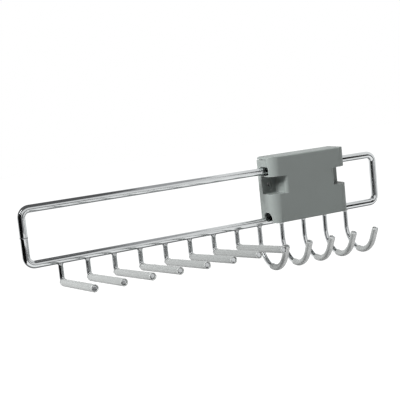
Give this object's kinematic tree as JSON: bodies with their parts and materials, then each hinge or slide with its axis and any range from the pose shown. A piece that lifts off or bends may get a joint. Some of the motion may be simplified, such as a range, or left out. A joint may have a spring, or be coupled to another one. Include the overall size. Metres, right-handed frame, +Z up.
{
  "type": "belt and tie rack",
  "caption": "Pull-out belt and tie rack: a closed chromed wire loop with sleeved tie arms and belt hooks below it slides through a grey moulded housing that screws to a panel.",
  "frame": {"origin": "midway between the two panel screw holes, on the back face of the housing", "axes": "+X along the rails, to the right as seen from the front; +Y towards the panel; +Z up"},
  "size_m": [0.4641, 0.1188, 0.1306],
  "materials": {
    "chrome_wire": "polished chrome plate on round steel wire",
    "sleeve": "satin, slightly translucent soft plastic",
    "housing": "fine matt texture, grey with a green cast",
    "glide": "smooth, dark grey, self-lubricating",
    "screw_zinc": "bright zinc plate"
  },
  "bodies": {
    "housing": {"housing_cover": "housing", "housing_base": "housing", "upper_glide_left": "glide", "upper_glide_right": "glide", "lower_glide_left": "glide", "lower_glide_right": "glide", "cover_screws": "screw_zinc"},
    "frame": {"frame_loop": "chrome_wire", "tie_peg_1": "chrome_wire", "tie_peg_2": "chrome_wire", "tie_peg_3": "chrome_wire", "tie_peg_4": "chrome_wire", "tie_peg_5": "chrome_wire", "tie_peg_6": "chrome_wire", "tie_peg_7": "chrome_wire", "tie_peg_8": "chrome_wire", "tie_sleeve_1": "sleeve", "tie_sleeve_2": "sleeve", "tie_sleeve_3": "sleeve", "tie_sleeve_4": "sleeve", "tie_sleeve_5": "sleeve", "tie_sleeve_6": "sleeve", "tie_sleeve_7": "sleeve", "tie_sleeve_8": "sleeve", "belt_hook_1": "chrome_wire", "belt_hook_2": "chrome_wire", "belt_hook_3": "chrome_wire", "belt_hook_4": "chrome_wire", "belt_hook_5": "chrome_wire", "belt_sleeve_1": "sleeve", "belt_sleeve_2": "sleeve", "belt_sleeve_3": "sleeve", "belt_sleeve_4": "sleeve", "belt_sleeve_5": "sleeve"}
  },
  "joints": [
    {"name": "frame_slide", "type": "slide", "parent": "housing", "child": "frame", "axis": [1, 0, 0], "range_m": [-0.04, 0.285]}
  ]
}
